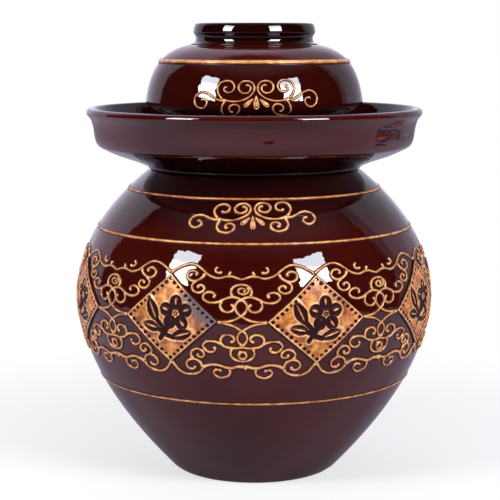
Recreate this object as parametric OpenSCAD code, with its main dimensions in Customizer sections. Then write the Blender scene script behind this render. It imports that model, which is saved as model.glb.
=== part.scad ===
// Water seal pickle jar: a round-bellied glazed jar with a water dish round its neck,
// a bowl-shaped lid that stands in the dish, and an inner lid on the mouth.
// The front of the jar faces -Y and the jar stands on z = 0.

/* [Jar] */
// Radius of the flat foot
foot_r = 55.3; // [48:0.1:62]
// Largest radius of the belly
belly_r = 120; // [112:0.5:128]
// Height of the widest point of the belly
belly_z = 119.6; // [112:0.2:128]
// Radius where the shoulder meets the water dish
collar_r = 69.8; // [66:0.1:74]
// Height where the shoulder meets the water dish
collar_z = 206; // [198:0.5:214]
// Flare of the wall at the foot, in degrees from upright
foot_flare = 44; // [38:0.5:50]
// Slope of the shoulder at the collar, in degrees from upright
shoulder_slope = 51.7; // [48:0.1:56]
// Thickness of the jar's wall
jar_wall = 8; // [6:0.5:10]
// Thickness of the jar's floor
jar_floor = 9; // [7:0.5:12]
// Depth of the hollow turned under the foot
foot_hollow = 2; // [1:0.5:3]

/* [Mouth and water dish] */
// Inner radius of the mouth
mouth_r = 47; // [44:0.5:49]
// Thickness of the neck's wall
neck_wall = 7; // [5:0.5:8]
// Height of the neck's rim
neck_z = 250; // [246:0.5:252]
// Height of the dish's floor, where the lid stands
dish_floor_z = 220; // [219:0.5:223]
// Largest radius of the dish, at its lip
lip_r = 113.2; // [110:0.2:116]
// Height of the dish's lip
lip_z = 246; // [243:0.5:249]
// Thickness of the dish's wall
dish_wall = 6; // [5:0.5:7]

/* [Lid] */
// Largest radius of the lid, just above the dish
lid_r = 73.2; // [71:0.2:76]
// Height of the lid's largest radius
lid_edge_z = 250.4; // [249:0.2:252]
// Height of the lid's flat top, under its foot ring
lid_top_z = 288; // [284:0.5:292]
// Thickness of the lid's wall
lid_wall = 5.5; // [4.5:0.5:6.5]
// Outer radius of the skirt that stands in the water
skirt_r = 61; // [60:0.2:62]
// Thickness of the skirt
skirt_wall = 5; // [4:0.5:5.5]
// Largest radius of the foot ring on top
ring_r = 41.1; // [39:0.1:43]
// Height of the top of the foot ring
ring_top_z = 302.2; // [299:0.2:306]

/* [Inner lid] */
// Radius of the inner lid's plate
plate_r = 53; // [50:0.5:54]
// Thickness of the plate
plate_t = 6; // [4:0.5:7]
// Height of the knob above the plate
knob_h = 13; // [10:0.5:16]
// Radius of the knob
knob_r = 10; // [8:0.5:12]

/* [Relief] */
// Number of diamond plaques round the belly
plaque_count = 8; // [6:1:8]
// Turn of the first plaque from the front, in degrees to the right
plaque_turn = 19; // [0:0.1:45]
// Width of a plaque across its corners
plaque_w = 63.6; // [58:0.2:66]
// Height of a plaque across its corners
plaque_h = 54.4; // [50:0.2:58]
// Height of the plaques' centres
plaque_z = 121.4; // [118:0.2:125]
// How far a plaque's edge stands out of the wall
plaque_relief = 1.6; // [1:0.1:2.4]
// Height of the upper gilt line, under the collar
line_upper_z = 192.7; // [188:0.1:196]
// Height of the gilt line above the plaques
line_shoulder_z = 167.3; // [163:0.1:171]
// Height of the gilt line below the plaques
line_belly_z = 66.6; // [62:0.1:71]
// Height of the gilt line on the lid
line_lid_z = 277.2; // [274:0.1:279]
// Width of the gilt lines on the jar
line_w = 1.7; // [1.2:0.1:2.4]
// Width of the gilt line on the lid
line_lid_w = 2.2; // [1.6:0.1:2.8]
// How far the gilt lines stand out
line_relief = 0.6; // [0.4:0.1:0.9]
// Width of the trailed cords of the scrollwork
cord_w = 1.8; // [1.4:0.1:1.9]
// How far the cords stand out of the wall
cord_relief = 1; // [0.7:0.1:1.3]
// Turn of the spray on the shoulder, in degrees to the right
shoulder_spray_turn = -0.6; // [-5:0.1:5]
// Turn of the spray on the lid, in degrees to the right
lid_spray_turn = 0.9; // [-5:0.1:5]

/* [Hidden] */
$fn = 96;

glaze = [0.20, 0.07, 0.06];
gilt = [0.80, 0.53, 0.28];

neck_r = mouth_r + neck_wall;
// air between two loose pieces that rest on one another
rest_gap = 0.4;
// the turned edges are eased by this much
eased = 1.5;
// least air between a straight-edged cord and the round wall under it
cord_bed = 0.08;
// a cord's feet are raised by this many times what the wall bulges under them
bulge_margin = 1.5;
// the most that the wall may bulge under one step of a cord before the step is divided
jar_bulge = 0.06;
lid_bulge = 0.02;

function lerp(a, b, t) = a + (b - a) * t;
function bezier(p, t) =
    lerp(lerp(lerp(p[0], p[1], t), lerp(p[1], p[2], t), t),
         lerp(lerp(p[1], p[2], t), lerp(p[2], p[3], t), t), t);
function bezier_run(p, n) = [for (i = [0 : n]) bezier(p, i / n)];
function unit(v) = v / norm(v);
// a curve moved to its left by d; a profile that climbs has its inside on the left
function inset(p, t, d) =
    let (e = 0.001, dir = unit(bezier(p, min(1, t + e)) - bezier(p, max(0, t - e))))
    bezier(p, t) + d * [-dir.y, dir.x];
function inset_run(p, n, d, t0 = 0) = [for (i = [0 : n]) inset(p, lerp(t0, 1, i / n), d)];
function reversed(list) = [for (i = [len(list) - 1 : -1 : 0]) list[i]];

// Outline of the jar, as [radius, height] from the foot to the collar
foot_pull = 62.6;
belly_pull_down = 35.2;
belly_pull_up = 30.5;
collar_pull = 43.9;
foot_dir = [sin(foot_flare), cos(foot_flare)];
collar_dir = [-sin(shoulder_slope), cos(shoulder_slope)];
lower_curve = [
    [foot_r, 0], [foot_r, 0] + foot_pull * foot_dir,
    [belly_r, belly_z - belly_pull_down], [belly_r, belly_z]
];
upper_curve = [
    [belly_r, belly_z], [belly_r, belly_z + belly_pull_up],
    [collar_r, collar_z] - collar_pull * collar_dir, [collar_r, collar_z]
];
lower_steps = 24;
upper_steps = 20;
jar_outline = concat(bezier_run(lower_curve, lower_steps),
                     [for (i = [1 : upper_steps]) bezier(upper_curve, i / upper_steps)]);
// the shoulder runs on straight under the dish up to the neck
shoulder_end = [neck_r, collar_z + (collar_r - neck_r) / tan(shoulder_slope)];
collar_inside = inset(upper_curve, 1, jar_wall);
mouth_inside = [mouth_r, collar_inside.y + (collar_inside.x - mouth_r) / tan(shoulder_slope)];
// the inside of the wall starts where it is clear of the floor
floor_clear_t = 0.1;
// Radius of the hollow turned under the foot
hollow_r = foot_r - 12;

// the skirt ends where the lid's wall begins to swell out
skirt_in = skirt_r - skirt_wall;
skirt_top_z = lid_edge_z - 8.2;
// Outline of the lid above its edge, up to the foot of its ring
lid_top_r = ring_r + 1.6;
lid_curve = [
    [lid_r, lid_edge_z], [lid_r - 2.2, lid_edge_z + 15.6],
    [lid_r - 7.2, lid_top_z - 4], [lid_top_r, lid_top_z]
];
lid_steps = 18;
lid_outline = bezier_run(lid_curve, lid_steps);
// the lid's wall swells out from the skirt to its edge
lid_swell = [
    [skirt_r, skirt_top_z],
    [skirt_r + 6.3, lid_edge_z - 6],
    [skirt_r + 9.6, lid_edge_z - 4.1],
    [skirt_r + 11.6, lid_edge_z - 1.9]
];

// The scrollwork, drawn by hand as [degrees from the motif's middle, height]. A volute ends in its
// eye, and every cord keeps clear of the next. "through" cords are the right half of one that runs
// through the middle, "paired" ones are laid left and right, "single" ones once.
upper_through = [
    // swag over the motif and up to the plaque's top corner
    [[0, 146.9], [2.6, 148.5], [5, 148.3], [7.3, 147.4], [9.8, 148.8], [11.9, 151.6], [14.2, 154.6],
     [16.4, 155], [19, 153.5], [21.6, 150.8]],
    // bar over the almond, ending in volutes
    [[0, 135], [1.4, 136.2], [2.9, 136.5], [5, 135.2], [8, 132.8], [10.6, 133.7], [11.5, 136.3], [10, 138.9],
     [8.2, 138.4], [8.2, 136.6]],
    // arch round the small ring
    [[0, 143.9], [1.3, 143.5], [2.5, 142], [2.9, 139.8], [2.8, 138.4]]
];
upper_paired = [
    [[11.6, 148.9], [13, 146.2], [15.2, 145.2], [16.7, 147], [16.5, 150], [15, 151], [13.8, 149.7],
     [14.5, 148.5]],
    [[14.6, 143.7], [15.1, 141.8], [14.6, 139.5], [13.1, 138.4], [11.5, 139.6], [11.5, 142.1], [12.7, 142.9],
     [12.9, 141.4]],
    [[6, 132.3], [6.1, 130.2], [5.2, 128], [3.8, 127.4], [2.9, 128.7], [2.9, 130.7], [3.7, 131.8]]
];
upper_single = [
    // almond, whose sides cross at its foot and run out to the plaques' corners
    [[-6.7, 121.5], [-5, 121.1], [-2.4, 122.4], [-0.2, 124.8], [1.5, 128.2], [1.6, 131.6], [0.8, 133.2]],
    [[-0.8, 126.5], [-1.5, 128.2], [-1.6, 131.6], [-0.8, 133.2]],
    [[1.1, 123.7], [2.4, 122.4], [5, 121.1], [6.7, 121.5]],
    ring_round([0, 139.9], 1.1, 1.6)
];
lower_through = [
    // bar under the almond, curling up on either side
    [[0, 105.6], [1.8, 105], [4.7, 105.6], [6.3, 108], [6, 111.9], [4.2, 113.6], [2.8, 111.5], [3.3, 109.3]],
    // loop round the small ring
    [[0, 96.5], [2.5, 98], [3.3, 101], [3.2, 102.9]],
    // waved line along the bottom, then the swag up to the plaque's lower corner
    [[0, 92.8], [1.6, 92.9], [3.2, 92], [5.4, 92.4], [8, 94], [10.6, 93.3], [12.2, 91.4], [13.2, 88.9],
     [15.4, 86.8], [17.9, 86.7], [20.4, 89], [21.8, 92.6]]
];
lower_paired = [
    [[7.6, 108.6], [9.2, 109.1], [10.8, 108.5], [11.8, 105.8], [10.6, 102.5], [8.7, 102.7], [8.4, 105]],
    [[15.6, 99.2], [15.7, 101.2], [15, 102.9], [13.3, 103.8], [11.8, 101.8], [11.9, 98.8], [13.3, 98.9],
     [13.3, 100.7]],
    [[12.9, 93.3], [13.2, 95.4], [15.1, 97], [17.1, 95.2], [17.2, 91.4], [15.6, 90.5], [14.9, 92.5]],
    [[4, 89.7], [4.2, 87.3], [5.6, 85.6], [7.6, 85.7], [8.9, 87.9], [8.2, 90.2], [6.8, 90]]
];
lower_single = [
    [[3.7, 119.2], [2.3, 118.4], [-0.2, 115.4], [-1.5, 111.8], [-1.1, 108.8], [-0.7, 107.6]],
    [[-3.7, 119.2], [-2.3, 118.4], [-1.2, 117.2]],
    [[0.8, 114], [1.5, 111.8], [1.1, 108.8], [0.7, 107.6]],
    ring_round([0, 100.7], 1.1, 2)
];
shoulder_spray = [
    // outer volute, through the joint, to the inner volute
    [[20.9, 180.4], [19, 180.1], [19.4, 177.7], [21.8, 177], [23.6, 179.4], [22.9, 182.8], [20.3, 184.1],
     [17.4, 183], [14.6, 181.7], [10, 181], [7, 181], [4, 182.3], [1.8, 184.3], [0.8, 186.8], [1.8, 189.4],
     [4.2, 190.2], [6.6, 189], [6.7, 186.2], [4.5, 184.9], [2.5, 186], [3, 188.2], [4.3, 188]],
    [[13.9, 183.7], [14.8, 185.6], [15, 187.5], [13.4, 189.7], [10.7, 189.9], [9, 188], [10.2, 185.6],
     [12.3, 186.4]],
    [[12.4, 179.7], [12.9, 177.8], [12.2, 175.5], [9.9, 174], [7.3, 174.9], [6.6, 177.7], [8.5, 179.1],
     [9.7, 177.5]]
];
shoulder_sprig = [
    [[0, 183.2, 0.4], [0, 180.4, 2.2], [0.1, 177.6, 3], [0.1, 176, 0.6]],
    [[-1.3, 181.9, 0.4], [-2.7, 180.2, 1.9], [-4.1, 178.6, 0.6]],
    [[1.3, 181.9, 0.4], [2.9, 180.3, 1.9], [4.4, 178.9, 0.6]]
];
shoulder_spray_tilt = 0.05;
lid_spray = [
    [[27.4, 254.4], [25.1, 252.4], [26.6, 249.4], [30.3, 249.7], [32.2, 253.8], [30.9, 257.6], [27.4, 259],
     [23.4, 257.2], [19.4, 254.5], [12.6, 253.2], [8.1, 253.4], [3.6, 255.6], [1.1, 259.2], [1.1, 263],
     [4.5, 265.6], [8, 264.4], [8.7, 260.7], [6, 258], [3.2, 259.6], [3.4, 262.6], [5.5, 262.6]],
    [[18.3, 256.6], [19.6, 259.6], [19.5, 262.8], [16.8, 265.7], [12.6, 265.2], [11.1, 261.5], [12.9, 258.8],
     [16, 259.7], [15.5, 262]],
    [[16.4, 251.5], [17.5, 248.4], [17.2, 245.6], [14.4, 244.3], [10.4, 245.3], [8.3, 249], [10.6, 251],
     [13.4, 249.2], [12.4, 247.2]]
];
lid_sprig = [
    [[0, 256.2, 0.4], [0, 253.6, 1.8], [0.2, 250.4, 3.2], [0.2, 248.4, 1]],
    [[-1.9, 253.5, 0.4], [-3.9, 251.6, 2.1], [-5.6, 250, 0.7]],
    [[2.1, 253.6, 0.4], [4.2, 251.6, 2.1], [6.1, 249.9, 0.7]]
];
lid_spray_tilt = 0.02;

// a small ring, open by one step so that its ends don't meet
function ring_round(centre, half_turn, half_height) =
    [for (a = [-60 : 40 : 260]) centre + [half_turn * cos(a), half_height * sin(a)]];
// a whole cord from its right half
function run_through(half) =
    concat([for (i = [len(half) - 1 : -1 : 1]) [-half[i].x, half[i].y]], half);

function radius_at(outline, z) = lookup(z, [for (p = outline) [p.y, p.x]]);
function slope_at(outline, z) = atan((radius_at(outline, z + 1) - radius_at(outline, z - 1)) / 2);

// everything inside an outline, out to the axis
module inside(outline) {
    polygon(concat([[0, outline[0].y]], outline, [[0, outline[len(outline) - 1].y]]));
}

// a raised line with a rounded top, laid on an outline at height z
module raised_line(outline, z, width) {
    bead_r = (line_relief * line_relief + width * width / 4) / (2 * line_relief);
    sink = bead_r - line_relief;
    rotate_extrude($fn = 180)
        difference() {
            translate([radius_at(outline, z), z])
                rotate(-slope_at(outline, z))
                translate([-sink, 0])
                circle(r = bead_r, $fn = 12);
            inside(outline);
        }
}

module jar_body() {
    color(glaze)
    rotate_extrude($fn = 180)
        polygon(concat(
            [[0, foot_hollow], [hollow_r, foot_hollow], [hollow_r + 3, 0]],
            jar_outline,
            [shoulder_end, [mouth_r, shoulder_end.y], mouth_inside],
            reversed(inset_run(upper_curve, upper_steps, jar_wall)),
            reversed(inset_run(lower_curve, lower_steps, jar_wall, floor_clear_t)),
            [[hollow_r, jar_floor], [0, jar_floor]]
        ));
}

module mouth_neck() {
    color(glaze)
    rotate_extrude($fn = 144)
        polygon([
            [mouth_r, shoulder_end.y],
            [neck_r, shoulder_end.y],
            [neck_r, neck_z - eased],
            [neck_r - eased, neck_z],
            [mouth_r + eased, neck_z],
            [mouth_r, neck_z - eased]
        ]);
}

module water_dish() {
    wall_top = lip_r - 2.8;
    wall_foot = lip_r - 7;
    underside = [
        [collar_r, collar_z],
        [collar_r + 3.9, collar_z + 2.1],
        [collar_r + 10.8, collar_z + 4.7],
        [collar_r + 19.3, collar_z + 7.6],
        [collar_r + 25.7, collar_z + 10],
        [collar_r + 31.5, collar_z + 12.7]
    ];
    outside = [
        [wall_foot - 1.8, lip_z - 25.7],
        [wall_foot - 0.5, lip_z - 24.9],
        [wall_foot + 0.3, lip_z - 23.6],
        [wall_foot + 1.5, lip_z - 19],
        [wall_foot + 2.3, lip_z - 13.6],
        [wall_top - 1.2, lip_z - 10.5],
        [wall_top - 0.4, lip_z - 8],
        [wall_top + 0.4, lip_z - 6.7],
        [lip_r - 0.6, lip_z - 4.3],
        [lip_r, lip_z - 3]
    ];
    crest = [
        [lip_r - 0.3, lip_z - 1.6],
        [lip_r - 1.2, lip_z - 0.5],
        [lip_r - 2.6, lip_z],
        [lip_r - 4.4, lip_z - 0.1],
        [lip_r - 5.6, lip_z - 0.9]
    ];
    channel = bezier_run([
        [wall_foot + 2.3 - dish_wall, lip_z - 13.6],
        [wall_foot - dish_wall - 1, dish_floor_z + 3],
        [wall_foot - dish_wall - 8, dish_floor_z],
        [wall_foot - dish_wall - 22, dish_floor_z]
    ], 10);
    color(glaze)
    rotate_extrude($fn = 180)
        polygon(concat(
            underside, outside, crest,
            [[lip_r - 7.4, lip_z - 4]],
            channel,
            [[neck_r, dish_floor_z], shoulder_end]
        ));
}

module gilt_line_upper() {
    color(gilt) raised_line(jar_outline, line_upper_z, line_w);
}

module gilt_line_shoulder() {
    color(gilt) raised_line(jar_outline, line_shoulder_z, line_w);
}

module gilt_line_belly() {
    color(gilt) raised_line(jar_outline, line_belly_z, line_w);
}

// a skin on the jar's wall, from depth d0 to depth d1 outside it
module jar_skin(d0, d1) {
    rotate_extrude($fn = 180)
        intersection() {
            difference() {
                translate([d1, 0]) inside(jar_outline);
                translate([d0, 0]) inside(jar_outline);
            }
            translate([0, plaque_z - plaque_h]) square([2 * belly_r, 2 * plaque_h]);
        }
}

// an upright diamond bar that runs out from the axis towards the front, its sides moved in by edge_w
module diamond_bar(edge_w) {
    side = norm([plaque_w, plaque_h]);
    half_w = plaque_w / 2 - edge_w * side / plaque_h;
    half_h = plaque_h / 2 - edge_w * side / plaque_w;
    translate([0, -belly_r / 2, plaque_z])
        rotate([90, 0, 0])
        linear_extrude(belly_r)
        polygon([[half_w, 0], [0, half_h], [-half_w, 0], [0, -half_h]]);
}

// one plaque: a thin diamond plate with a raised edge round it
module plaque() {
    edge_w = 1.6;
    field_sink = 0.5;
    clear = 2;
    difference() {
        intersection() {
            jar_skin(0, plaque_relief);
            diamond_bar(0);
        }
        intersection() {
            jar_skin(plaque_relief - field_sink, plaque_relief + clear);
            diamond_bar(edge_w);
        }
    }
}

module diamond_plaques() {
    color(gilt)
    for (i = [0 : plaque_count - 1])
        rotate([0, 0, plaque_turn + i * 360 / plaque_count])
        plaque();
}

// the place that is turned from the front by some degrees, at height z and lift off an outline's wall
function on_wall(outline, turn, z, lift) =
    let (slope = slope_at(outline, z), r = radius_at(outline, z) + lift * cos(slope))
    [r * sin(turn), -r * cos(turn), z - lift * sin(slope)];

// the way from a to b along the wall, as a direction in millimetres
function wall_way(outline, a, b) =
    let (z = (a.y + b.y) / 2)
    unit([(b.x - a.x) * radius_at(outline, z) * PI / 180, (b.y - a.y) / cos(slope_at(outline, z))]);

// a step of so many millimetres on the wall, as [turn, height]
function wall_step(outline, z, step) =
    [step.x / radius_at(outline, z) * 180 / PI, step.y * cos(slope_at(outline, z))];

// how far the round wall bulges over a straight line between two places on it
function bulge(outline, a, b) =
    max([for (t = [0.125 : 0.125 : 0.875])
        let (p = lerp(a, b, t),
             wall = on_wall(outline, p.x, p.y, 0),
             line = lerp(on_wall(outline, a.x, a.y, 0), on_wall(outline, b.x, b.y, 0), t))
        (wall - line) * (on_wall(outline, p.x, p.y, 1) - wall)]);

// the points of a cord, with more of them where the wall bulges under a step by more than most
function fitted(outline, points, most) =
    let (last = len(points) - 1)
    concat([for (i = [0 : last - 1])
        let (n = max(1, ceil(sqrt(max(0, bulge(outline, points[i], points[i + 1])) / most))))
        for (k = [0 : n - 1]) lerp(points[i], points[i + 1], k / n)], [points[last]]);

// one cord of slip with a sharp crest, through points of [turn, height, width]; a point without a
// width takes the usual one, and the feet are raised to where the cord clears the round wall
module cord(outline, points) {
    last = len(points) - 1;
    feet = [for (i = [0 : last])
        let (p = points[i],
             way = wall_way(outline, points[max(0, i - 1)], points[min(last, i + 1)]),
             half = (p[2] == undef ? cord_w : p[2]) / 2,
             side = wall_step(outline, p.y, half * [-way.y, way.x]))
        [[p.x + side.x, p.y + side.y], [p.x - side.x, p.y - side.y]]];
    rings = [for (i = [0 : last])
        let (p = points[i],
             across = bulge(outline, feet[i][0], feet[i][1]),
             along = [for (j = [max(0, i - 1) : min(last, i + 1)], k = [0, 1])
                 if (j != i) bulge(outline, feet[i][k], feet[j][k])],
             bed = cord_bed + bulge_margin * max(concat([across], along)))
        [on_wall(outline, feet[i][0].x, feet[i][0].y, bed),
         on_wall(outline, p.x, p.y, cord_relief),
         on_wall(outline, feet[i][1].x, feet[i][1].y, bed)]];
    walls = [for (i = [0 : last - 1], k = [0 : 2])
        let (a = 3 * i + k, b = 3 * i + (k + 1) % 3)
        each [[a, b + 3, b], [a, a + 3, b + 3]]];
    polyhedron([for (ring = rings) each ring],
               concat([[0, 1, 2]], walls, [[3 * last + 2, 3 * last + 1, 3 * last]]));
}

// the cords of a list, laid round a centre; side mirrors them, and tilt raises their right end
module cords(outline, list, centre, side = 1, tilt = 0, most = jar_bulge) {
    for (points = list)
        cord(outline, [for (p = fitted(outline, points, most))
            [centre + side * p.x, p.y + side * tilt * p.x, p[2]]]);
}

// one motif in every gap between two plaques
module belly_motifs(through, paired, single) {
    gap = 360 / plaque_count;
    for (i = [0 : plaque_count - 1]) {
        centre = plaque_turn + (i - 0.5) * gap;
        cords(jar_outline, [for (half = through) run_through(half)], centre);
        cords(jar_outline, paired, centre);
        cords(jar_outline, paired, centre, -1);
        cords(jar_outline, single, centre);
    }
}

module belly_scrolls_upper() {
    color(gilt) belly_motifs(upper_through, upper_paired, upper_single);
}

module belly_scrolls_lower() {
    color(gilt) belly_motifs(lower_through, lower_paired, lower_single);
}

// a wide spray of scrolls with a small sprig under its middle
module spray(outline, half, sprig, centre, tilt, most) {
    cords(outline, half, centre, 1, tilt, most);
    cords(outline, half, centre, -1, tilt, most);
    cords(outline, sprig, centre, 1, 0, most);
}

module shoulder_scrolls() {
    color(gilt)
    for (side = [0, 180])
        spray(jar_outline, shoulder_spray, shoulder_sprig, shoulder_spray_turn + side, shoulder_spray_tilt,
              jar_bulge);
}

// the lid's lower wall, which stands in the water round the neck
module lid_skirt() {
    foot_z = dish_floor_z + rest_gap;
    color(glaze)
    rotate_extrude($fn = 144)
        polygon([
            [skirt_in, foot_z + eased / 2],
            [skirt_in + eased / 2, foot_z],
            [skirt_r - eased / 2, foot_z],
            [skirt_r, foot_z + eased / 2],
            [skirt_r, skirt_top_z],
            [skirt_in, skirt_top_z]
        ]);
}

module lid_bowl() {
    color(glaze)
    rotate_extrude($fn = 144)
        polygon(concat(
            [[skirt_in, skirt_top_z]],
            lid_swell,
            lid_outline,
            [[0, lid_top_z]],
            [[0, lid_top_z - lid_wall - 0.4]],
            reversed(inset_run(lid_curve, lid_steps, lid_wall)),
            [[skirt_in + 6, lid_edge_z - 3.4],
             [skirt_in + 1, lid_edge_z - 6.4]]
        ));
}

module lid_foot_ring() {
    ring_in = ring_r - 6.1;
    color(glaze)
    rotate_extrude($fn = 144)
        polygon([
            [ring_in - 0.6, lid_top_z],
            [lid_top_r, lid_top_z],
            [ring_r - 0.7, lid_top_z + 1.3],
            [ring_r - 1.5, lid_top_z + 2.6],
            [ring_r - 1.7, ring_top_z - 9.6],
            [ring_r - 1, ring_top_z - 7.6],
            [ring_r - 0.3, ring_top_z - 6.3],
            [ring_r, ring_top_z - 4.7],
            [ring_r - 0.2, ring_top_z - 3.2],
            [ring_r - 0.8, ring_top_z - 1.9],
            [ring_r - 1.7, ring_top_z - 0.6],
            [ring_r - 3.1, ring_top_z],
            [ring_in + 1.4, ring_top_z - 0.6],
            [ring_in + 0.4, ring_top_z - 2.4],
            [ring_in, ring_top_z - 6]
        ]);
}

module lid_gilt_line() {
    color(gilt) raised_line(lid_outline, line_lid_z, line_lid_w);
}

module lid_scrolls() {
    color(gilt)
    for (side = [0, 180])
        spray(concat(lid_swell, lid_outline), lid_spray, lid_sprig, lid_spray_turn + side, lid_spray_tilt,
              lid_bulge);
}

module inner_lid() {
    seat_z = neck_z + rest_gap;
    plug_r = mouth_r - 1.5;
    plug_h = 6;
    color(glaze)
    rotate_extrude($fn = 120)
        polygon([
            [0, seat_z - 1],
            [plug_r - 6, seat_z - 1],
            [plug_r - 5, seat_z - plug_h],
            [plug_r - eased, seat_z - plug_h],
            [plug_r, seat_z - plug_h + eased],
            [plug_r, seat_z],
            [plate_r - eased / 2, seat_z],
            [plate_r, seat_z + eased / 2],
            [plate_r, seat_z + plate_t / 2],
            [plate_r - 3, seat_z + plate_t - 1],
            [knob_r + 4, seat_z + plate_t],
            [0, seat_z + plate_t]
        ]);
}

module inner_lid_knob() {
    base_z = neck_z + rest_gap + plate_t;
    color(glaze)
    rotate_extrude($fn = 72)
        polygon([
            [0, base_z],
            [knob_r - 2, base_z],
            [knob_r - 3.4, base_z + knob_h * 0.2],
            [knob_r - 3, base_z + knob_h * 0.4],
            [knob_r - 0.6, base_z + knob_h * 0.6],
            [knob_r, base_z + knob_h * 0.75],
            [knob_r - 1, base_z + knob_h * 0.9],
            [knob_r - 3.5, base_z + knob_h],
            [0, base_z + knob_h]
        ]);
}

jar_body();
mouth_neck();
water_dish();
gilt_line_upper();
gilt_line_shoulder();
gilt_line_belly();
diamond_plaques();
belly_scrolls_upper();
belly_scrolls_lower();
shoulder_scrolls();
lid_skirt();
lid_bowl();
lid_foot_ring();
lid_gilt_line();
lid_scrolls();
inner_lid();
inner_lid_knob();
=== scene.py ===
import bisect
import math

import bmesh
import bpy
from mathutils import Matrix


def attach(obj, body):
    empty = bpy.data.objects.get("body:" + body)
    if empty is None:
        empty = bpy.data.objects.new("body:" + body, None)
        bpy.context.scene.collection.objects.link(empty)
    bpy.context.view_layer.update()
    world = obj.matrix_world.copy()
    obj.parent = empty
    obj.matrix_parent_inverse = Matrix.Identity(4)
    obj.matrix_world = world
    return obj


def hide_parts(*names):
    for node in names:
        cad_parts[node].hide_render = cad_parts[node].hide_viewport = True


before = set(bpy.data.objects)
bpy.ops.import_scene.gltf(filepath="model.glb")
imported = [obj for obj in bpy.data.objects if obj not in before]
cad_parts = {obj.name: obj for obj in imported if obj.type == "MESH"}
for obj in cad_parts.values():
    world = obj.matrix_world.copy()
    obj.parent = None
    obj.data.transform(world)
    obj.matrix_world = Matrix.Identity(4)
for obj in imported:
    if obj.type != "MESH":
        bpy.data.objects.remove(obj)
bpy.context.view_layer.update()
mm = 0.001


# The view. The camera stands a metre in front of the jar, a little above its water dish, and looks
# down on it through a long lens; the shift puts the jar's axis where the photograph has it.
camera_data = bpy.data.cameras.new("camera")
camera_data.sensor_width = 36
camera_data.lens = 106.09
camera_data.shift_x = -0.0086
camera_data.shift_y = 0.001
camera = bpy.data.objects.new("camera", camera_data)
camera.location = (0, -1.0, 0.29435)
camera.rotation_euler = (math.radians(90 - 8.327), 0, 0)
bpy.context.scene.collection.objects.link(camera)
bpy.context.scene.camera = camera
bpy.context.scene.view_settings.view_transform = "Standard"


# The room. A sheet of white paper hangs behind the jar, brightest in its middle and greyer on the
# right; the glaze mirrors it along its edges. A dim ceiling is over it, and the camera's side is dark.
def hang_backdrop():
    world = bpy.data.worlds.new("paper_backdrop")
    bpy.context.scene.world = world
    world.use_nodes = True
    tree = world.node_tree
    tree.nodes.clear()
    make = tree.nodes.new
    link = tree.links.new

    def shade(source, stops):
        ramp = make("ShaderNodeValToRGB")
        while len(ramp.color_ramp.elements) < len(stops):
            ramp.color_ramp.elements.new(1)
        for element, (place, level) in zip(ramp.color_ramp.elements, stops):
            element.position = place
            element.color = (level, level, level, 1)
        link(source, ramp.inputs["Fac"])
        return ramp.outputs["Color"]

    def join(kind, first, second):
        node = make("ShaderNodeMath")
        node.operation = kind
        link(first, node.inputs[0])
        link(second, node.inputs[1])
        return node.outputs[0]

    where = make("ShaderNodeTexCoord")
    parts = make("ShaderNodeSeparateXYZ")
    link(where.outputs["Generated"], parts.inputs[0])
    across = make("ShaderNodeMapRange")
    across.inputs["From Min"].default_value = -math.pi / 2
    across.inputs["From Max"].default_value = math.pi / 2
    link(join("ARCTAN2", parts.outputs["X"], parts.outputs["Y"]), across.inputs["Value"])
    sheet = shade(across.outputs[0], [
        (0.146, 0), (0.155, 0.68), (0.278, 0.8), (0.411, 1), (0.533, 1), (0.589, 0.8), (0.678, 0.57),
        (0.767, 0.48), (0.868, 0.48), (0.874, 0.24), (0.912, 0.24), (0.918, 0)])
    top = shade(parts.outputs["Z"], [(0.72, 0.83), (0.81, 1), (0.88, 1), (0.92, 0.8), (0.97, 0)])
    ceiling = shade(parts.outputs["Z"], [(0, 0.008), (0.66, 0.01), (0.76, 0.09), (0.89, 0.22), (0.94, 0.22),
                                         (0.98, 0)])
    gain = make("ShaderNodeMath")
    gain.operation = "MULTIPLY"
    gain.inputs[1].default_value = 1.2
    link(join("MULTIPLY", sheet, top), gain.inputs[0])
    room = make("ShaderNodeBackground")
    room.inputs["Color"].default_value = (0.96, 0.92, 1.14, 1)
    link(join("MAXIMUM", gain.outputs[0], ceiling), room.inputs["Strength"])
    white = make("ShaderNodeBackground")
    white.inputs["Color"].default_value = (1, 1, 1, 1)
    ray = make("ShaderNodeLightPath")
    seen = make("ShaderNodeMixShader")
    link(ray.outputs["Is Camera Ray"], seen.inputs[0])
    link(room.outputs[0], seen.inputs[1])
    link(white.outputs[0], seen.inputs[2])
    out = make("ShaderNodeOutputWorld")
    link(seen.outputs[0], out.inputs[0])


hang_backdrop()


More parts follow.
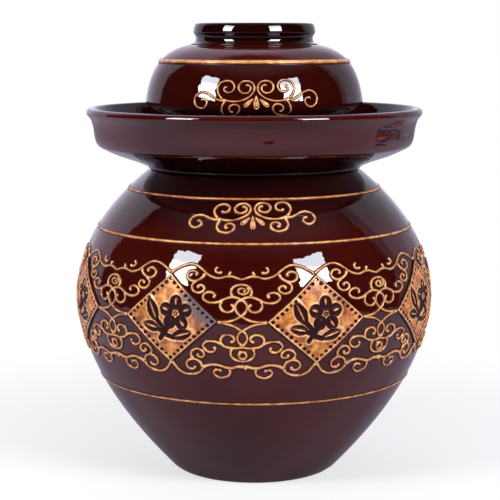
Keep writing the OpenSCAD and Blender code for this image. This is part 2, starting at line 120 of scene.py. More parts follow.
# The floor. A table that ends a little way in front of the jar, so that the glaze mirrors it in the lower half only.
# Its colour has painted light and shade: darker in front and close round the jar, paler on the left and towards
# the paper. It keeps the jar's shadow and fades to white further off.
def lay_floor():
    mesh = bmesh.new()
    bmesh.ops.create_grid(mesh, x_segments=1, y_segments=1, size=3)
    for vertex in mesh.verts:
        vertex.co.x = math.copysign(1.1, vertex.co.x)
        vertex.co.y = max(vertex.co.y, -0.75)
    data = bpy.data.meshes.new("floor")
    mesh.to_mesh(data)
    mesh.free()
    floor = bpy.data.objects.new("floor", data)
    bpy.context.scene.collection.objects.link(floor)
    paint = bpy.data.materials.new("pale_table")
    paint.use_nodes = True
    data.materials.append(paint)
    make = paint.node_tree.nodes.new
    link = paint.node_tree.links.new

    def spread(source, low, high, from_level, to_level, kind="LINEAR"):
        node = make("ShaderNodeMapRange")
        node.interpolation_type = kind
        for socket, value in zip(list(node.inputs)[1:5], (low, high, from_level, to_level)):
            socket.default_value = value
        link(source, node.inputs["Value"])
        return node.outputs[0]

    def join(kind, first, second):
        node = make("ShaderNodeMath")
        node.operation = kind
        link(first, node.inputs[0])
        link(second, node.inputs[1])
        return node.outputs[0]

    where = make("ShaderNodeTexCoord")
    parts = make("ShaderNodeSeparateXYZ")
    link(where.outputs["Object"], parts.inputs[0])
    reach = make("ShaderNodeVectorMath")
    reach.operation = "LENGTH"
    link(where.outputs["Object"], reach.inputs[0])
    # Painted light and shade in the table's colour: paler towards the back and on the left, darker close round the jar.
    back = spread(parts.outputs["Y"], -0.3, 0.3, 0.35, 0.7)
    left = spread(parts.outputs["X"], -0.4, 0.4, 0.08, 0)
    near = spread(reach.outputs["Value"], 0.05, 0.3, 0.62, 1)
    table_light_and_shade = make("ShaderNodeVectorMath")
    table_light_and_shade.operation = "SCALE"
    table_light_and_shade.inputs[0].default_value = (1, 0.93, 1.1)
    link(join("MULTIPLY", join("ADD", back, left), near), table_light_and_shade.inputs["Scale"])
    ray = make("ShaderNodeLightPath")
    colour = make("ShaderNodeMix")
    colour.data_type = "RGBA"
    colour.inputs["B"].default_value = (0.93, 0.93, 0.93, 1)
    link(table_light_and_shade.outputs[0], colour.inputs["A"])
    link(ray.outputs["Is Camera Ray"], colour.inputs["Factor"])
    table = paint.node_tree.nodes["Principled BSDF"]
    table.inputs["Roughness"].default_value = 0.9
    table.inputs["Specular IOR Level"].default_value = 0.1
    link(colour.outputs["Result"], table.inputs["Base Color"])
    white = make("ShaderNodeEmission")
    mix = make("ShaderNodeMixShader")
    far = spread(reach.outputs["Value"], 0.08, 0.42, 0.58, 1, "SMOOTHSTEP")
    link(join("MULTIPLY", far, ray.outputs["Is Camera Ray"]), mix.inputs[0])
    link(table.outputs[0], mix.inputs[1])
    link(white.outputs[0], mix.inputs[2])
    link(mix.outputs[0], paint.node_tree.nodes["Material Output"].inputs[0])


lay_floor()


# The lamps. Two softboxes in front of the jar, left and right and above, each the window that shows
# once on the belly and once on the lid. The upper pane of each is bluer and dimmer than the lower.
def hang_softbox(name, azimuth, elevation, size, power, colour):
    data = bpy.data.lights.new(name, "AREA")
    data.shape = "RECTANGLE"
    data.size, data.size_y = size
    data.energy = power
    data.color = colour
    lamp = bpy.data.objects.new(name, data)
    turn, lift = math.radians(azimuth), math.radians(elevation)
    distance, aim_height = 1.7, 0.16
    lamp.location = (distance * math.cos(lift) * math.sin(turn),
                     -distance * math.cos(lift) * math.cos(turn),
                     aim_height + distance * math.sin(lift))
    lamp.rotation_euler = (math.radians(90) - lift, 0, turn)
    lamp.visible_camera = False
    bpy.context.scene.collection.objects.link(lamp)


for name, azimuth, width in (("right", 41.5, 0.58), ("left", -51.5, 0.48)):
    hang_softbox("softbox_" + name, azimuth, 25, (width, 0.4), 35 * width, (0.98, 0.99, 1))
    hang_softbox("softbox_%s_top" % name, azimuth, 35.9, (width, 0.25), 14 * width, (0.84, 0.9, 1))


# The jar. One thrown earthenware shell, about 8 mm thick, dipped in dark red-brown glaze inside and
# out; only the ring that it stands on is wiped bare before the firing.
def bezier(p, t):
    s = 1 - t
    return tuple(s ** 3 * a + 3 * s * s * t * b + 3 * s * t * t * c + t ** 3 * d for a, b, c, d in zip(*p))


def follow(curve, steps, depth=0, first=0.0):
    """Points along a curve of (radius, height), moved in by depth."""
    points = []
    for i in range(steps + 1):
        t = first + (1 - first) * i / steps
        (r, z), (r0, z0), (r1, z1) = (bezier(curve, min(1, max(0, t + e))) for e in (0, -1e-3, 1e-3))
        length = math.hypot(r1 - r0, z1 - z0)
        points.append((r - depth * (z1 - z0) / length, z + depth * (r1 - r0) / length))
    return points


def turn_piece(name, outline, body, nodes, steps=256):
    """Turns a closed outline of (radius, height) in millimetres round the jar's axis."""
    mesh = bmesh.new()
    ring = [mesh.verts.new((r * mm, 0, z * mm)) for r, z in outline]
    for a, b in zip(ring, ring[1:] + ring[:1]):
        if a.co.x > 1e-9 or b.co.x > 1e-9:
            mesh.edges.new((a, b))
    bmesh.ops.spin(mesh, geom=mesh.verts[:] + mesh.edges[:], cent=(0, 0, 0), axis=(0, 0, 1),
                   angle=2 * math.pi, steps=steps, use_merge=True)
    bmesh.ops.remove_doubles(mesh, verts=mesh.verts, dist=1e-6)
    bmesh.ops.recalc_face_normals(mesh, faces=mesh.faces)
    for face in mesh.faces:
        face.smooth = True
    data = bpy.data.meshes.new(name)
    mesh.to_mesh(data)
    mesh.free()
    data.materials.append(red_brown_glaze)
    piece = bpy.data.objects.new(name, data)
    bpy.context.scene.collection.objects.link(piece)
    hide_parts(*nodes)
    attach(piece, body)


def mix_glaze():
    """Gloss glaze: redder on the dish, darker on the lid and nearly black on its ring, with painted bounce light
    low on the belly and painted shade on the shoulder under the dish and round the collar.
    """
    glaze = bpy.data.materials.new("red_brown_glaze")
    glaze.use_nodes = True
    make = glaze.node_tree.nodes.new
    link = glaze.node_tree.links.new
    body = glaze.node_tree.nodes["Principled BSDF"]
    body.inputs["Roughness"].default_value = 0.022
    body.inputs["IOR"].default_value = 1.54
    where = make("ShaderNodeTexCoord")

    def cloud(scale, detail, roughness=0.5):
        noise = make("ShaderNodeTexNoise")
        noise.inputs["Scale"].default_value = scale
        noise.inputs["Detail"].default_value = detail
        noise.inputs["Roughness"].default_value = roughness
        link(where.outputs["Object"], noise.inputs["Vector"])
        return noise.outputs["Fac"]

    tint = make("ShaderNodeValToRGB")
    tint.color_ramp.elements[0].position = 0.36
    tint.color_ramp.elements[0].color = (0.047, 0.0029, 0.0017, 1)
    tint.color_ramp.elements[1].position = 0.72
    tint.color_ramp.elements[1].color = (0.078, 0.0073, 0.0044, 1)
    link(cloud(16, 5), tint.inputs["Fac"])
    parts = make("ShaderNodeSeparateXYZ")
    link(where.outputs["Object"], parts.inputs[0])
    height = make("ShaderNodeMapRange")
    height.inputs["From Max"].default_value = 0.3022
    link(parts.outputs["Z"], height.inputs["Value"])
    # The glaze's colour by height: painted bounce light low on the belly, painted shade on the shoulder under the dish
    # and round the collar, lighter on the dish and at the top of the lid, darker on the lid and nearly black on its
    # ring.
    glaze_tone_and_painted_shade = make("ShaderNodeValToRGB")
    glaze_tone_and_painted_shade_stops = [(0.3, 0.92), (0.38, 0.72), (0.57, 0.72), (0.6, 0.4), (0.64, 0.2), (0.722, 0.24), (0.733, 0.84),
             (0.812, 0.84), (0.824, 0.5), (0.905, 0.5), (0.925, 0.95), (0.945, 0.95), (0.957, 0.14)]
    while len(glaze_tone_and_painted_shade.color_ramp.elements) < len(glaze_tone_and_painted_shade_stops):
        glaze_tone_and_painted_shade.color_ramp.elements.new(1)
    for element, (place, level) in zip(glaze_tone_and_painted_shade.color_ramp.elements, glaze_tone_and_painted_shade_stops):
        element.position = place
        element.color = (level, level, level, 1)
    link(height.outputs[0], glaze_tone_and_painted_shade.inputs["Fac"])
    depth = make("ShaderNodeMix")
    depth.data_type = "RGBA"
    depth.blend_type = "MULTIPLY"
    depth.inputs["Factor"].default_value = 1
    link(tint.outputs["Color"], depth.inputs["A"])
    link(glaze_tone_and_painted_shade.outputs["Color"], depth.inputs["B"])
    wiped = make("ShaderNodeMath")
    wiped.operation = "LESS_THAN"
    wiped.inputs[1].default_value = 0.0005
    link(parts.outputs["Z"], wiped.inputs[0])
    ground = make("ShaderNodeMix")
    ground.data_type = "RGBA"
    ground.inputs["B"].default_value = (0.36, 0.16, 0.085, 1)
    link(wiped.outputs[0], ground.inputs["Factor"])
    link(depth.outputs["Result"], ground.inputs["A"])

    def join(kind, first, second):
        node = make("ShaderNodeMath")
        node.operation = kind
        for socket, value in zip(node.inputs, (first, second)):
            if isinstance(value, (int, float)):
                socket.default_value = value
            else:
                link(value, socket)
        return node.outputs[0]

    def between(source, low, high, soft):
        """1 between two values of a source, falling to 0 outside them."""
        sides = []
        for edge, inner in ((low, low + soft), (high, high - soft)):
            node = make("ShaderNodeMapRange")
            node.inputs["From Min"].default_value = edge
            node.inputs["From Max"].default_value = inner
            link(source, node.inputs["Value"])
            sides.append(node.outputs[0])
        return join("MULTIPLY", *sides)

    azimuth = join("ARCTAN2", parts.outputs["X"], join("MULTIPLY", parts.outputs["Y"], -1))
    drawn_out = make("ShaderNodeCombineXYZ")
    link(azimuth, drawn_out.inputs["X"])
    link(join("MULTIPLY", parts.outputs["Z"], 70), drawn_out.inputs["Y"])
    streaks = make("ShaderNodeTexNoise")
    streaks.inputs["Scale"].default_value = 4.5
    streaks.inputs["Detail"].default_value = 3
    link(drawn_out.outputs[0], streaks.inputs["Vector"])
    radius = join("POWER", join("ADD", join("POWER", parts.outputs["X"], 2), join("POWER", parts.outputs["Y"], 2)), 0.5)
    scar = join("MULTIPLY", between(azimuth, 0.74, 1.09, 0.05), between(parts.outputs["Z"], 0.2238, 0.2418, 0.0015))
    scar = join("MULTIPLY", scar, between(radius, 0.1055, 0.2, 0.001))
    scar = between(join("MULTIPLY", scar, streaks.outputs["Fac"]), 0.45, 2, 0.05)
    burnt = make("ShaderNodeValToRGB")
    burnt.color_ramp.elements[0].position = 0.5
    burnt.color_ramp.elements[0].color = (0.012, 0.001, 0.001, 1)
    burnt.color_ramp.elements[1].position = 0.76
    burnt.color_ramp.elements[1].color = (0.27, 0.085, 0.03, 1)
    burnt.color_ramp.elements.new(0.63).color = (0.08, 0.007, 0.003, 1)
    link(streaks.outputs["Fac"], burnt.inputs["Fac"])
    scarred = make("ShaderNodeMix")
    scarred.data_type = "RGBA"
    link(scar, scarred.inputs["Factor"])
    link(ground.outputs["Result"], scarred.inputs["A"])
    link(burnt.outputs["Color"], scarred.inputs["B"])
    link(scarred.outputs["Result"], body.inputs["Base Color"])
    link(join("SUBTRACT", 0.5, join("MULTIPLY", scar, 0.4)), body.inputs["Specular IOR Level"])
    pins = make("ShaderNodeTexVoronoi")
    pins.inputs["Scale"].default_value = 60
    link(where.outputs["Object"], pins.inputs["Vector"])
    pit = make("ShaderNodeMapRange")
    pit.inputs["From Max"].default_value = 0.05
    pit.inputs["To Max"].default_value = 0.35
    link(pins.outputs["Distance"], pit.inputs["Value"])
    swell = join("ADD", join("MULTIPLY", cloud(13, 1), 2.2), cloud(38, 2.5, 0.42))
    peel = join("MULTIPLY", cloud(115, 2), 0.25)
    bump = make("ShaderNodeBump")
    bump.inputs["Strength"].default_value = 0.5
    bump.inputs["Distance"].default_value = 0.001
    link(join("ADD", join("ADD", swell, peel), pit.outputs[0]), bump.inputs["Height"])
    link(bump.outputs["Normal"], body.inputs["Normal"])
    return glaze


red_brown_glaze = mix_glaze()

foot_r, belly_r, belly_z, collar_r, collar_z = 55.3, 120, 119.6, 69.8, 206
foot_flare, shoulder_slope = math.radians(44), math.radians(51.7)
foot_pull, belly_pull_down, belly_pull_up, collar_pull = 62.6, 35.2, 30.5, 43.9
jar_wall, jar_floor, foot_hollow, hollow_r = 8, 9, 2, foot_r - 12
lower_curve = [
    (foot_r, 0), (foot_r + foot_pull * math.sin(foot_flare), foot_pull * math.cos(foot_flare)),
    (belly_r, belly_z - belly_pull_down), (belly_r, belly_z)]
upper_curve = [
    (belly_r, belly_z), (belly_r, belly_z + belly_pull_up),
    (collar_r + collar_pull * math.sin(shoulder_slope), collar_z - collar_pull * math.cos(shoulder_slope)),
    (collar_r, collar_z)]
jar_outline = follow(lower_curve, 60) + follow(upper_curve, 60)[1:]
mouth_r, neck_r, neck_z = 47, 54, 250
shoulder_end = (neck_r, collar_z + (collar_r - neck_r) / math.tan(shoulder_slope))
collar_inside = follow(upper_curve, 1, jar_wall)[1]
mouth_inside = (mouth_r, collar_inside[1] + (collar_inside[0] - mouth_r) / math.tan(shoulder_slope))
eased_foot = [(foot_r - 1.3, 0), (foot_r - 0.4, 0.4), (foot_r + 0.5, 1.2)]
turn_piece(
    "jar_wall",
    [(0, foot_hollow), (hollow_r, foot_hollow), (hollow_r + 3, 0)] + eased_foot + jar_outline[1:]
    + [shoulder_end, (mouth_r, shoulder_end[1]), mouth_inside]
    + follow(upper_curve, 40, jar_wall)[::-1] + follow(lower_curve, 40, jar_wall, 0.1)[::-1][1:]
    + [(hollow_r, jar_floor), (0, jar_floor)],
    "jar", ["jar_body"])


# The neck. A short upright collar round the mouth, which the lid drops over; thrown with the jar's
# shoulder, its rim rounded with a wet sponge.
rim_half, rim_drop = (neck_r - mouth_r) / 2, 3
neck_rim = [((neck_r + mouth_r) / 2 + rim_half * math.cos(a), neck_z - rim_drop + rim_drop * math.sin(a))
            for a in (math.radians(15 * k) for k in range(13))]
turn_piece("neck", [(mouth_r, shoulder_end[1]), (neck_r, shoulder_end[1])] + neck_rim, "jar", ["mouth_neck"], 160)


# The water dish. A flat-floored ring with a flaring wall and a turned-out lip, thrown apart and
# luted round the neck while the clay is soft; the sealing water stands in it.
def rounded(points, cuts=4):
    """A smooth curve through the given points."""
    last = len(points) - 1
    fine = []
    for i in range(last):
        a, b, c, d = (points[min(last, max(0, i + k))] for k in (-1, 0, 1, 2))
        for j in range(cuts):
            t = j / cuts
            fine.append(tuple(
                0.5 * (2 * q + (r - p) * t + (2 * p - 5 * q + 4 * r - s) * t * t + (3 * q - p - 3 * r + s) * t ** 3)
                for p, q, r, s in zip(a, b, c, d)))
    return fine + [points[last]]


lip_r, lip_z, dish_floor_z, dish_wall = 113.2, 246, 220, 6
wall_foot, wall_top = lip_r - 7, lip_r - 2.8
dish_underside = [
    (collar_r, collar_z), (collar_r + 2, collar_z + 0.2), (collar_r + 2.5, collar_z + 0.5),
    (collar_r + 2.6, collar_z + 0.95), (collar_r + 3.2, collar_z + 1.5), (collar_r + 10.8, collar_z + 4.7),
    (collar_r + 19.3, collar_z + 7.6), (collar_r + 25.7, collar_z + 10), (collar_r + 31.5, collar_z + 12.7)]
dish_outside = [
    (wall_foot - 2.6, lip_z - 26.1), (wall_foot - 1, lip_z - 25.05), (wall_foot + 0.15, lip_z - 23.5),
    (wall_foot + 0.9, lip_z - 21.6),
    (wall_foot + 1.5, lip_z - 19), (wall_foot + 2.3, lip_z - 13.6), (wall_top - 1.2, lip_z - 10.5),
    (wall_top - 0.4, lip_z - 8), (wall_top + 0.4, lip_z - 6.7)]
dish_lip = [
    (lip_r - 0.6, lip_z - 4.3), (lip_r, lip_z - 3), (lip_r - 0.3, lip_z - 1.6), (lip_r - 1.2, lip_z - 0.5),
    (lip_r - 2.6, lip_z), (lip_r - 4.4, lip_z - 0.1), (lip_r - 5.6, lip_z - 0.9), (lip_r - 7.4, lip_z - 4)]
dish_channel = follow([
    (wall_foot + 2.3 - dish_wall, lip_z - 13.6), (wall_foot - dish_wall - 1, dish_floor_z + 3),
    (wall_foot - dish_wall - 8, dish_floor_z), (wall_foot - dish_wall - 22, dish_floor_z)], 16)
turn_piece(
    "dish",
    rounded(dish_underside + dish_outside + dish_lip) + dish_channel + [(neck_r, dish_floor_z), shoulder_end],
    "jar", ["water_dish"])


# The gilt lines. Three fine cords of slip drawn round the turning jar and one round the lid, gilded
# on their crests; the glaze lies dark along their feet.
def mix_gilding():
    """Gold by the gilt attribute: 0 bare glaze, 0.4 thin brown, 0.6 orange gold, 1 a pale painted highlight on the
    crest.
    """
    gold = bpy.data.materials.new("orange_gilding")
    gold.use_nodes = True
    make = gold.node_tree.nodes.new
    link = gold.node_tree.links.new
    body = gold.node_tree.nodes["Principled BSDF"]

    def spread(source, low, high, from_level, to_level):
        node = make("ShaderNodeMapRange")
        node.interpolation_type = "SMOOTHSTEP"
        for socket, value in zip(list(node.inputs)[1:5], (low, high, from_level, to_level)):
            socket.default_value = value
        link(source, node.inputs["Value"])
        return node.outputs[0]

    def blend(share, first, second, kind="MIX"):
        node = make("ShaderNodeMix")
        node.data_type = "RGBA"
        node.blend_type = kind
        for socket, value in ((node.inputs["Factor"], share), (node.inputs["A"], first), (node.inputs["B"], second)):
            if isinstance(value, (int, float, tuple)):
                socket.default_value = value
            else:
                link(value, socket)
        return node.outputs["Result"]

    where = make("ShaderNodeTexCoord")
    mottle = make("ShaderNodeTexNoise")
    mottle.inputs["Scale"].default_value = 190
    mottle.inputs["Detail"].default_value = 6
    mottle.inputs["Roughness"].default_value = 0.62
    link(where.outputs["Object"], mottle.inputs["Vector"])
    tint = make("ShaderNodeValToRGB")
    tint.color_ramp.elements[0].position = 0.34
    tint.color_ramp.elements[0].color = (0.29, 0.083, 0.02, 1)
    tint.color_ramp.elements[1].position = 0.63
    tint.color_ramp.elements[1].color = (0.84, 0.38, 0.108, 1)
    middle = tint.color_ramp.elements.new(0.5)
    middle.color = (0.59, 0.193, 0.043, 1)
    link(mottle.outputs["Fac"], tint.inputs["Fac"])
    gilt = make("ShaderNodeAttribute")
    gilt.attribute_name = "gilt"
    ragged = make("ShaderNodeMath")
    ragged.operation = "MULTIPLY_ADD"
    ragged.inputs[1].default_value = 0.5
    ragged.inputs[2].default_value = -0.25
    link(mottle.outputs["Fac"], ragged.inputs[0])
    cover = make("ShaderNodeMath")
    cover.operation = "ADD"
    link(gilt.outputs["Fac"], cover.inputs[0])
    link(ragged.outputs[0], cover.inputs[1])
    leaf = spread(cover.outputs[0], 0.28, 0.5, 0, 1)
    thin = spread(cover.outputs[0], 0.44, 0.8, 0.75, 0)
    # A painted highlight: the highest gilt, on the crests of cords, beads and outlines, is mixed towards pale gold.
    painted_crest_highlight = spread(cover.outputs[0], 0.8, 1.1, 0, 0.6)
    drift = make("ShaderNodeTexNoise")
    drift.inputs["Scale"].default_value = 34
    drift.inputs["Detail"].default_value = 2
    link(where.outputs["Object"], drift.inputs["Vector"])
    warm = blend(spread(drift.outputs["Fac"], 0.38, 0.62, 0, 1), (1.0, 0.92, 1.0, 1), (1.02, 1.04, 0.76, 1))
    worked = blend(1, tint.outputs["Color"], warm, "MULTIPLY")
    brown = blend(thin, worked, (0.17, 0.045, 0.013, 1))
    highlighted = blend(painted_crest_highlight, brown, (0.90, 0.56, 0.27, 1))
    # A patch where the gold is rubbed away; its lilac grey is a painted sheen of the glaze beneath, not the glaze's own
    # colour.
    wear_and_sheen = make("ShaderNodeAttribute")
    wear_and_sheen.attribute_name = "wear_and_sheen"
    rubbed_and_sheen = blend(wear_and_sheen.outputs["Fac"], highlighted, (0.17, 0.105, 0.11, 1))
    link(blend(leaf, (0.028, 0.007, 0.008, 1), rubbed_and_sheen), body.inputs["Base Color"])
    link(spread(leaf, 0, 1, 0.3, 0.42), body.inputs["Roughness"])
    link(spread(leaf, 0, 1, 0, 0.15), body.inputs["Metallic"])
    link(spread(leaf, 0, 1, 0.12, 0.5), body.inputs["Specular IOR Level"])
    link(spread(leaf, 0, 1, 0, 0.3), body.inputs["Coat Weight"])
    body.inputs["Coat Roughness"].default_value = 0.12
    bump = make("ShaderNodeBump")
    bump.inputs["Strength"].default_value = 0.4
    bump.inputs["Distance"].default_value = 0.0003
    link(mottle.outputs["Fac"], bump.inputs["Height"])
    link(bump.outputs["Normal"], body.inputs["Normal"])
    return gold


orange_gilding = mix_gilding()


def measure(outline):
    """Tables of a turned wall: its outline, the heights of its points and the lengths along it."""
    lengths = [0]
    for (r0, z0), (r1, z1) in zip(outline, outline[1:]):
        lengths.append(lengths[-1] + math.hypot(r1 - r0, z1 - z0))
    return outline, [z for r, z in outline], lengths


def read_off(value, table, other):
    """The value in one table that belongs to a value in another, rising one."""
    k = min(len(table) - 2, max(0, bisect.bisect(table, value) - 1))
    return other[k] + (other[k + 1] - other[k]) * (value - table[k]) / (table[k + 1] - table[k])


def on_wall(wall, turn, z, lift):
    """The place lift above the wall, turn degrees to the right of the front, at height z; all in mm."""
    outline, heights, lengths = wall
    k = min(len(heights) - 2, max(0, bisect.bisect(heights, z) - 1))
    (r0, z0), (r1, z1) = outline[k:k + 2]
    slope = lengths[k + 1] - lengths[k]
    r = r0 + (r1 - r0) * (z - z0) / (z1 - z0) + lift * (z1 - z0) / slope
    a = math.radians(turn)
    return r * math.sin(a) * mm, -r * math.cos(a) * mm, (z + lift * (r0 - r1) / slope) * mm


def draw_cords(cords, wall, girth, capped=True, gold=1):
    """Cords of slip drawn flat, x along the wall's girth and y along its outline, in mm. A cord is its
    width and its points, as (turn, height); one that ends where it starts is a closed loop."""
    section = bpy.data.curves.new("cord_section", "CURVE")
    half = [(1.6, -0.05), (1.2, 0.07), (0.93, 0.22), (0.76, 0.46), (0.56, 0.78), (0.3, 0.97), (0, 1.03)]
    loop = half + [(-x, y) for x, y in half[-2::-1]]
    spline = section.splines.new("POLY")
    spline.points.add(len(loop) - 1)
    spline.use_cyclic_u = True
    for point, place in zip(spline.points, loop):
        point.co = place + (0, 1)
    data = bpy.data.curves.new("cord", "CURVE")
    data.dimensions = "3D"
    data.twist_mode = "Z_UP"
    data.bevel_mode = "OBJECT"
    data.bevel_object = bpy.data.objects.new("cord_section", section)
    data.use_fill_caps = capped
    drawn = bpy.data.objects.new("cord", data)
    for thing in (data.bevel_object, drawn):
        bpy.context.scene.collection.objects.link(thing)
    mesh = bmesh.new()
    gilt = mesh.verts.layers.float.new("gilt")
    for number, (width, points) in enumerate(cords):
        flat = [(math.radians(turn) * girth, read_off(z, wall[1], wall[2])) for turn, z in points]
        closed = capped and points[0] == points[-1]
        run = [0]
        for a, b in zip(flat, flat[1:]):
            run.append(run[-1] + math.hypot(b[0] - a[0], b[1] - a[1]))
        step, wave, swell = (0.55, 9, 0.05) if capped else (3.2, 110, 0.02)
        steps = max(4, round(run[-1] / step))
        size = width / 1.8
        data.splines.clear()
        spline = data.splines.new("POLY")
        spline.points.add(steps - 1 if closed else steps)
        spline.use_cyclic_u = closed
        for k, point in enumerate(spline.points):
            along = run[-1] * k / steps
            point.co = (read_off(along, run, [x for x, y in flat]), read_off(along, run, [y for x, y in flat]), 0, 1)
            point.radius = size * (1 + swell * math.sin(number + 2 * math.pi * round(run[-1] / wave) * k / steps))
            if capped and not closed:
                inset = min(along, run[-1] - along)
                point.radius *= max(0.15, math.sqrt(1 - max(0, 1 - inset / (0.9 * size)) ** 2))
                point.radius *= 1 + 0.22 * math.exp(-((inset - 1.2) / 0.9) ** 2)
        first = len(mesh.verts)
        mesh.from_mesh(bpy.data.meshes.new_from_object(drawn.evaluated_get(bpy.context.evaluated_depsgraph_get())))
        mesh.verts.ensure_lookup_table()
        for vertex in mesh.verts[first:]:
            # The gilt rises to the cord's crest, where the gilding paints its pale highlight.
            vertex[gilt] = gold * vertex.co.z / size
            vertex.co.z *= 1 if capped else 0.6
    for thing in (data.bevel_object, drawn):
        bpy.data.objects.remove(thing)
    return mesh


def lay_relief(name, flat, places, wall, girth, body, nodes=()):
    """Lays flat relief on a wall, once at each of the turns given."""
    data = bpy.data.meshes.new(name)
    mesh = bmesh.new()
    flat.to_mesh(data)
    for turn in places:
        first = len(mesh.verts)
        mesh.from_mesh(data)
        mesh.verts.ensure_lookup_table()
        for vertex in mesh.verts[first:]:
            x, y, lift = vertex.co
            vertex.co = on_wall(wall, turn + math.degrees(x / girth), read_off(y, wall[2], wall[1]), lift)
    bmesh.ops.remove_doubles(mesh, verts=mesh.verts, dist=2e-6)
    bmesh.ops.recalc_face_normals(mesh, faces=mesh.faces)
    for face in mesh.faces:
        face.smooth = True
    data = bpy.data.meshes.new(name)
    mesh.to_mesh(data)
    mesh.free()
    data.materials.append(orange_gilding)
    piece = bpy.data.objects.new(name, data)
    bpy.context.scene.collection.objects.link(piece)
    if nodes:
        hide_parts(*nodes)
    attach(piece, body)


jar_surface = measure(jar_outline)
for name, node, z, gold in (("upper_line", "gilt_line_upper", 192.7, 0.85),
                            ("shoulder_line", "gilt_line_shoulder", 167.3, 0.9),
                            ("lower_line", "gilt_line_belly", 66.6, 0.97)):
    round_jar = draw_cords([(1.75, [(1.5 * k, z) for k in range(241)])], jar_surface, belly_r, False, gold)
    lay_relief(name, round_jar, [0], jar_surface, belly_r, "jar", [node])


# The plaques. Eight thin diamonds of clay pressed in a mould and stuck on round the belly: a raised
# edge, a row of punched dots and a blossom sunk in the field; gilded, dark where they are sunk.
plaque_turn, plaque_count, plaque_z = 19, 8, 121.4
plaque_half_w, plaque_half_h, plaque_relief = 31.8, 27.2, 1.6
plaque_side = math.hypot(plaque_half_w, plaque_half_h)
plaque_inner = plaque_half_w * plaque_half_h / plaque_side
dots_a_side, dot_row, dot_r, plaque_fillet = 10, 2.15, 0.98, 0.9


def smooth(low, high, value):
    t = min(1, max(0, (value - low) / (high - low)))
    return t * t * (3 - 2 * t)


def oval(u, v, centre, half_length, half_width, lean, point=2.0):
    """How far a place is outside an oval, roughly in mm; point under 2 draws its ends to points."""
    c, s = math.cos(math.radians(lean)), math.sin(math.radians(lean))
    x, y = u - centre[0], v - centre[1]
    along, across = abs(x * c + y * s) / half_length, abs(y * c - x * s) / half_width
    return ((along ** point + across ** 2) ** 0.5 - 1) * half_width


def stroke(u, v, ends):
    """How far a place is outside a straight stroke of the mould-maker's gouge."""
    (u0, v0), (u1, v1) = ends
    t = ((u - u0) * (u1 - u0) + (v - v0) * (v1 - v0)) / ((u1 - u0) ** 2 + (v1 - v0) ** 2)
    t = min(1, max(0, t))
    return math.hypot(u - u0 - t * (u1 - u0), v - v0 - t * (v1 - v0)) - 1.6


def sunk_blossom(u, v):
    """How far a place is outside the sunk blossom, leaves and stem, whose veins stand up gilded."""
    heart = (4.9, 3.6)
    from_heart = math.hypot(u - heart[0], v - heart[1])
    petals = [max(from_heart - 1.5, 0.5 - from_heart)]
    for k in range(5):
        lean = 90 + 72 * k
        a = math.radians(lean)
        centre = (heart[0] + 6.6 * math.cos(a), heart[1] + 6.6 * math.sin(a))
        vein = (heart[0] + 7.4 * math.cos(a), heart[1] + 7.4 * math.sin(a))
        petals.append(max(oval(u, v, centre, 4.7, 4.3, lean), -oval(u, v, vein, 1.8, 0.62, lean)))
    leaves = []
    for centre, length, width, lean in (((-11.2, 4.6), 7.6, 4.1, 116), ((-12, -5.4), 6.0, 3.4, 168),
                                        ((8.6, -9.4), 7.2, 3.5, 16)):
        leaves.append(max(oval(u, v, centre, length, width, lean, 1.35),
                          -oval(u, v, centre, length * 0.6, 0.5, lean, 1.2)))
    stems = [stroke(u, v, ends) for ends in (
        ((1.6, -2.4), (-1.6, -7)), ((-1.6, -7), (-6, -12.6)), ((-8.2, -1), (-2.4, -7)), ((-7, -7), (-3.6, -8.4)),
        ((2.8, -11.4), (-3.4, -9.6)))]
    return min(petals + leaves + stems)


def plaque_surface(p, q):
    """Height over the wall in mm and show of gold, at p and q, the two ways along a plaque's sides."""
    u, v = (p - q) / 2 * plaque_half_w, (p + q) / 2 * plaque_half_h
    edge = (1 - max(abs(p), abs(q))) * plaque_inner
    bead = smooth(-0.05, 0.35, edge) * (1 - smooth(0.85, 1.35, edge))
    height = (plaque_relief - 0.4) * smooth(-plaque_fillet, 0.2, edge) + 0.4 * bead - 0.05
    # The bead and the blossom's rim carry the most gilt, which the gilding paints with its pale crest highlight.
    gold = 0.74 * smooth(-0.25, 0.2, edge) + 0.3 * bead
    row = 1 - dot_row / plaque_inner
    pitch = 2 * row / dots_a_side
    for a, b in ((p, q), (q, p)):
        da, db = abs(a) - row, b - pitch * round(b / pitch)
        if abs(b) < row + pitch / 2 and abs(da) < pitch:
            size = dot_r * (1 + 0.13 * math.sin(9 * math.copysign(1, a) + 17 * round(b / pitch)))
            near = plaque_side / 2 * (abs(da) ** 2.6 + abs(db) ** 2.6) ** (1 / 2.6)
            height -= 0.9 * (1 - smooth(0.45 * size, 1.1 * size, near))
            gold *= smooth(0.85 * size, 1.25 * size, near)
    out = sunk_blossom(u, v)
    rim = math.exp(-((out - 0.5) / 0.45) ** 2)
    height += 0.32 * rim - 0.85 * (1 - smooth(-0.8, 0.15, out))
    gold += 0.36 * rim - 0.14 * smooth(0.9, 1.4, out) * (1 - smooth(1.6, 3, out))
    return u, v, height, gold * smooth(-0.35, 0.1, out)


